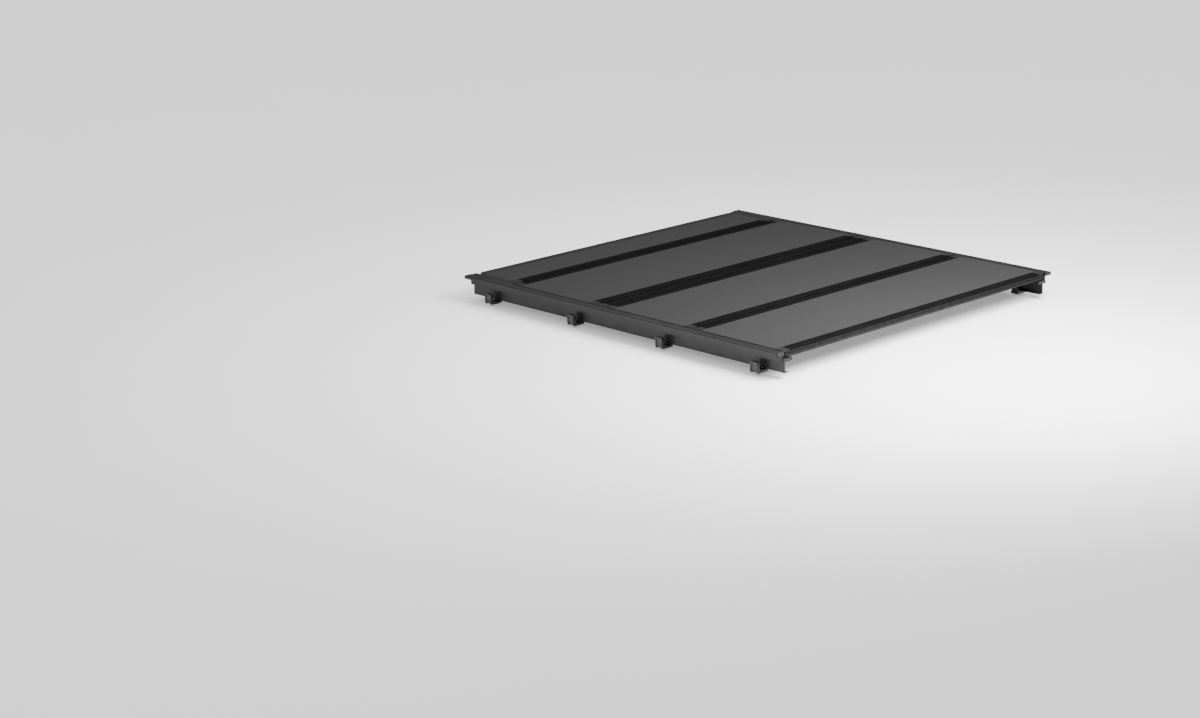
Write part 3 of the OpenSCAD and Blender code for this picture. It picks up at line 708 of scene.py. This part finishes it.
def make_cable():
    """Stranded release cable with crimped ferrules, and its two ribbed grips."""
    lo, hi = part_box("release_cable")
    x, z = LATCH_X, LATCH_Z
    bm = bmesh.new()
    n = 160
    add_tube(bm, [(x, lo[1] + (hi[1] - lo[1]) * i / n, z) for i in range(n + 1)], 1.45 * MM, 12)
    obj = dress(object_from(bm, "release_cable_strand"), "cable", "rear_panel")
    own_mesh(obj)
    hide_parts("release_cable")
    sleeve = [(1.6, 0), (3.3, 0), (3.5, 0.4), (3.5, 6), (3.1, 7), (3.1, 11), (3.5, 12),
              (3.5, 17.6), (3.3, 18), (2.7, 18)]
    end = hi[1] - 17.7 * MM
    for side, s in SIDES:
        bm = bmesh.new()
        add_lathe(bm, [(r * MM, s * (end + h * MM)) for r, h in sleeve], (x, 0, z), "y", 24)
        dress(object_from(bm, f"cable_ferrule_{side}"), "steel", f"latch_{side}", sharp=25)
    lo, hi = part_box("release_grips")
    bm = bmesh.new()
    ribs = [(1.6, -47), (6.2, -47), (7.4, -46.2), (7.4, -43.8), (5.6, -43)]
    h = -41.0
    while h < 41.0:
        ribs += [(5.4, h), (6.0, h + 0.9), (6.0, h + 2.1), (5.4, h + 3.0)]
        h += 4.1
    ribs += [(5.6, 43), (7.4, 43.8), (7.4, 46.2), (6.2, 47), (1.6, 47)]
    for s in (-1, 1):
        add_lathe(bm, scaled(ribs), (x, s * (hi[1] - 47 * MM), z), "y", 32, hollow=True)
    obj = dress(object_from(bm, "ribbed_pull_grips"), "rubber", "rear_panel", sharp=50)
    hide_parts("release_grips")


def make_knobs():
    """Five-lobed hand knobs with a round hub that meets the hold-down plate."""
    lo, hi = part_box("hold_down_knob_right")
    z0, z1 = lo[2] / MM, hi[2] / MM
    grip = [(0.34, z0), (0.62, z0 + 0.05), (0.86, z0 + 0.6), (0.96, z0 + 1.8), (1.0, z0 + 3.5),
            (1.0, z0 + 14.5), (0.97, z0 + 16.6), (0.88, z0 + 17.8), (0.72, z0 + 18.0)]
    hub = [(7.9, z0 + 17.5), (7.9, z1 - 0.7), (7.4, z1 - 0.1), (4.1, z1 - 0.1)]

    def lobed(r, t, k):
        return r * (13.6 + 2.2 * math.cos(5 * t)) * MM

    for side, s in SIDES:
        at = (STUD_X, s * STUD_Y, 0.0)
        bm = bmesh.new()
        add_lathe(bm, [(r, h * MM) for r, h in grip], at, "z", 80, lobed)
        add_lathe(bm, scaled(hub), at, "z", 40)
        obj = dress(object_from(bm, f"hand_knob_{side}"), "black_plastic", f"knob_{side}", sharp=50)
        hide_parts(f"hold_down_knob_{side}")


def make_nipples():
    """Barbed drain nipples under the gutters, at the cab end."""
    lo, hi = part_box("drain_nipples")
    x = (lo[0] + hi[0]) / 2
    outer = [(6.0, 0), (9.3, 0), (9.5, -0.3), (9.5, -2.7), (9.2, -3.0), (7.2, -3.2), (7.0, -8.0)]
    for k in range(4):
        z = -9.0 - 4.1 * k
        outer += [(8.0, z), (8.0, z - 0.6), (6.9, z - 3.8)]
    outer += [(6.7, -26.0), (6.0, -26.0), (5.9, -20.0), (5.9, -1.0)]
    bm = bmesh.new()
    for s in (-1, 1):
        add_lathe(bm, scaled(outer), (x, s * BOLT_Y, hi[2]), "z", 36, hollow=True)
    obj = dress(object_from(bm, "barbed_drain_nipples"), "rubber", "mount", sharp=30)
    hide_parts("drain_nipples")


def make_housing_ribs():
    """Stiffening ribs moulded under each latch housing."""
    lo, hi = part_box("latch_housings")
    bm = bmesh.new()
    x0, x1 = lo[0] + 8 * MM, hi[0] - 8 * MM
    for s in (-1, 1):
        for k in range(5):
            for side, x in ((-1, x0), (1, x1)):
                y = s * (hi[1] - 54 * MM + 11 * k * MM)
                rib = [(x, BOTTOM - 2 * MM), (x + side * 6 * MM, BOTTOM - 2 * MM),
                       (x + side * 5.5 * MM, BOTTOM - 4 * MM), (x, BOTTOM - 14 * MM)]
                add_bar(bm, rib, "y", y - 0.9 * MM, y + 0.9 * MM)
    dress(object_from(bm, "latch_housing_ribs"), "black_plastic", "rear_panel")


def make_rod_sleeves():
    """Vinyl sleeve around the middle of each prop rod."""
    for side, s in SIDES:
        x0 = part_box(f"prop_rod_{side}")[0][0] + 60 * MM
        prof = [(4.0, 0), (4.5, 0.2), (4.8, 1.0)]
        h = 3.0
        while h < 98:
            prof += [(4.8, h), (4.55, h + 0.6), (4.8, h + 1.2)]
            h += 6.0
        prof += [(4.8, 99.0), (4.5, 99.8), (4.0, 100.0)]
        bm = bmesh.new()
        add_lathe(bm, scaled(prof), (x0, s * ROD_Y, ROD_Z), "x", 28, hollow=True)
        dress(object_from(bm, f"rod_sleeve_{side}"), "rubber", f"rod_{side}", sharp=30)


make_springs()
make_cable()
make_knobs()
make_nipples()
make_housing_ribs()
make_rod_sleeves()


# ------------------------------------------------------------------ floor, light, camera
def make_floor():
    """Large pale sheet just under the lowest bolt heads."""
    bm = bmesh.new()
    bmesh.ops.create_grid(bm, x_segments=1, y_segments=1, size=40.0)
    floor = object_from(bm, "studio_floor")
    floor.location = (0, 0, -0.0005)
    s = Shader("studio_paper", (0.86, 0.86, 0.86), 0.9, spec=0.1)
    s.tint(s.noise(2.0, 3.0), "Fac", (0.91, 0.91, 0.91), (0.93, 0.93, 0.93))
    s.set(s.bsdf, "Emission Color", (1.0, 1.0, 1.0, 1.0))
    s.set(s.bsdf, "Emission Strength", 0.36)
    floor.data.materials.append(s.mat)


def area(name, at, look, size, power):
    """Square area light that faces a point."""
    data = bpy.data.lights.new(name, "AREA")
    data.shape = "SQUARE"
    data.size = size
    data.energy = power
    obj = bpy.data.objects.new(name, data)
    obj.location = at
    obj.rotation_mode = "QUATERNION"
    obj.rotation_quaternion = (Vector(look) - Vector(at)).to_track_quat("-Z", "Y")
    bpy.context.scene.collection.objects.link(obj)


def make_lights():
    """A dome that is brightest overhead, and one soft light above the rear edge."""
    world = bpy.data.worlds.new("studio_world")
    world.use_nodes = True
    tree = world.node_tree
    sky = tree.nodes["Background"]
    sky.inputs["Color"].default_value = (1, 1, 1, 1)
    where = tree.nodes.new("ShaderNodeTexCoord")
    split = tree.nodes.new("ShaderNodeSeparateXYZ")
    dome = tree.nodes.new("ShaderNodeMapRange")
    for socket, value in (("From Min", 0.30), ("From Max", 0.90), ("To Min", 0.03),
                          ("To Max", 1.75)):
        dome.inputs[socket].default_value = value
    tree.links.new(where.outputs["Generated"], split.inputs["Vector"])
    height = tree.nodes.new("ShaderNodeMath")
    height.operation = "ABSOLUTE"
    tree.links.new(split.outputs["Z"], height.inputs[0])
    tree.links.new(height.outputs["Value"], dome.inputs["Value"])
    tree.links.new(dome.outputs["Result"], sky.inputs["Strength"])
    bpy.context.scene.world = world
    area("rear_softbox", (1.7, -0.2, 1.5), (0.45, 0.1, 0.1), 1.4, 180)


CAMERA_AT = (6.6832, -7.2002, 2.5729)
CAMERA_AZIMUTH = 136.6051
CAMERA_DOWN = 16.0044
CAMERA_ROLL = -1.1645
LENS = 74.6026
SENSOR = 36.0


def make_camera():
    """Camera behind the rear left corner, its long lens about 10 m from the cover."""
    data = bpy.data.cameras.new("camera")
    data.sensor_width = SENSOR
    data.lens = LENS
    cam = bpy.data.objects.new("camera", data)
    az, el, roll = (math.radians(a) for a in (CAMERA_AZIMUTH, CAMERA_DOWN, CAMERA_ROLL))
    ahead = Vector((math.cos(az) * math.cos(el), math.sin(az) * math.cos(el), -math.sin(el)))
    right = ahead.cross(Vector((0, 0, 1))).normalized()
    up = right.cross(ahead)
    r = math.cos(roll) * right + math.sin(roll) * up
    u = -math.sin(roll) * right + math.cos(roll) * up
    turn = Matrix((r, u, -ahead)).transposed()
    cam.matrix_world = Matrix.Translation(CAMERA_AT) @ turn.to_4x4()
    data.clip_start, data.clip_end = 0.1, 200.0
    bpy.context.scene.collection.objects.link(cam)
    bpy.context.scene.camera = cam


make_floor()
make_lights()
make_camera()
